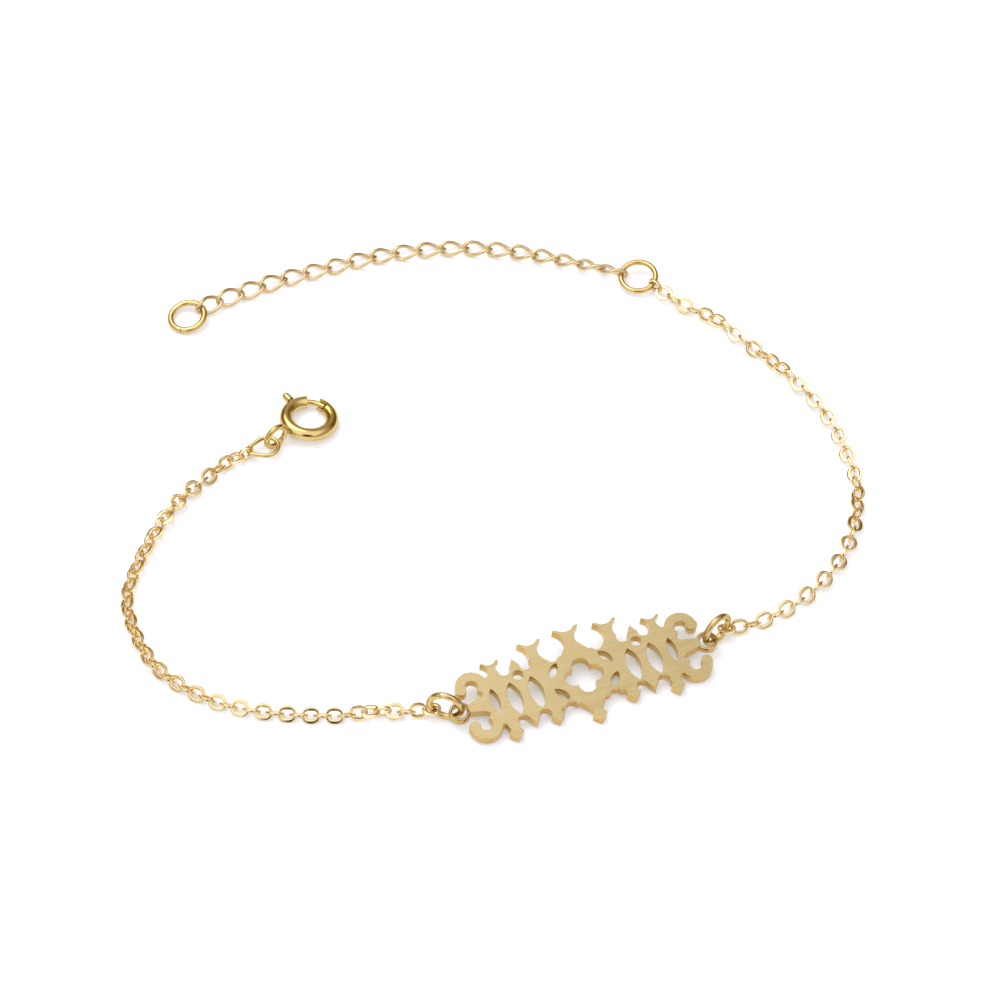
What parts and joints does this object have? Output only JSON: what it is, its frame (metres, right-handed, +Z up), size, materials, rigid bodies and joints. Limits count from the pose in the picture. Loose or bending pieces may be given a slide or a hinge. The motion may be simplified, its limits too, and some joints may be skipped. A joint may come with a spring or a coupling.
{
  "type": "nameplate bracelet",
  "caption": "Nameplate bracelet lying open: a pierced ornament plate between flat cable chains, with a spring ring clasp and a curb link extender.",
  "frame": {"origin": "middle of the spread bracelet's outline, on the surface that it lies on", "axes": "+X from the left chain to the right chain, +Y from the plate towards the free end of the chains, +Z up from the surface"},
  "size_m": [0.0736, 0.0656, 0.0038],
  "materials": {
    "plate": "satin, with polished edges",
    "rings": "polished",
    "cable_chain": "polished",
    "extender": "satin",
    "clasp": "polished",
    "trigger": "polished"
  },
  "bodies": {
    "bracelet": {"nameplate": "plate", "jump_ring_left": "rings", "jump_ring_right": "rings", "chain_left": "cable_chain", "chain_right": "cable_chain", "clasp_jump_ring": "rings", "clasp_ring": "clasp", "extender_ring": "rings", "end_ring": "rings", "extender_link_01": "extender", "extender_link_02": "extender", "extender_link_03": "extender", "extender_link_04": "extender", "extender_link_05": "extender", "extender_link_06": "extender", "extender_link_07": "extender", "extender_link_08": "extender", "extender_link_09": "extender", "extender_link_10": "extender", "extender_link_11": "extender", "extender_link_12": "extender", "extender_link_13": "extender", "extender_link_14": "extender", "extender_link_15": "extender", "extender_link_16": "extender", "extender_link_17": "extender", "extender_link_18": "extender", "extender_link_19": "extender"},
    "trigger": {"clasp_trigger": "trigger"}
  },
  "joints": [
    {"name": "trigger_slide", "type": "hinge", "parent": "bracelet", "child": "trigger", "pos_m": [-0.01894, 0.00795, 0.00095], "axis": [0.094, 0.0844, 0.992], "range_deg": [0, 48], "stiffness_Nm_per_rad": 0.0008, "springref_deg": -28.65}
  ]
}
